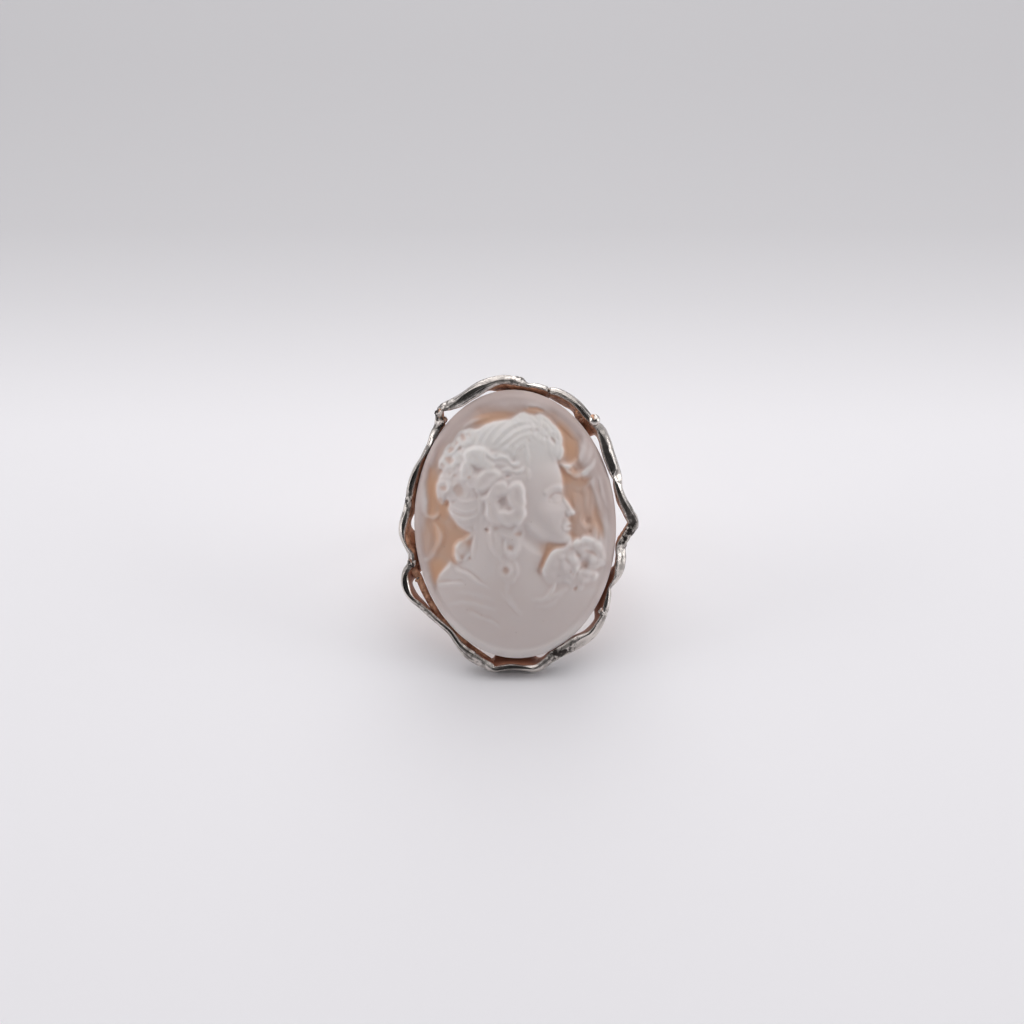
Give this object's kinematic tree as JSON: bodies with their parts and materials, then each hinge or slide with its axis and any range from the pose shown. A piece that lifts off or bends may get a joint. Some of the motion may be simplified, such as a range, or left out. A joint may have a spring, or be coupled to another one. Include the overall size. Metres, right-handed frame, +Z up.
{
  "type": "ring",
  "caption": "Finger ring with a carved oval shell cameo of a woman's profile in a freeform branch frame of polished silver on a plain band.",
  "frame": {"origin": "on the table, under the middle of the ring's bounding box", "axes": "+Z up from the table, the carved face looks towards -Y and up, the finger hole leans from upright towards +Y"},
  "size_m": [0.0268, 0.0278, 0.0274],
  "materials": {
    "silver": "polished cast silver, copper-brown inside",
    "shell": "satin shell, white relief over a peach ground"
  },
  "bodies": {
    "root": {"ring_mount": "silver", "cameo": "shell"}
  },
  "joints": []
}
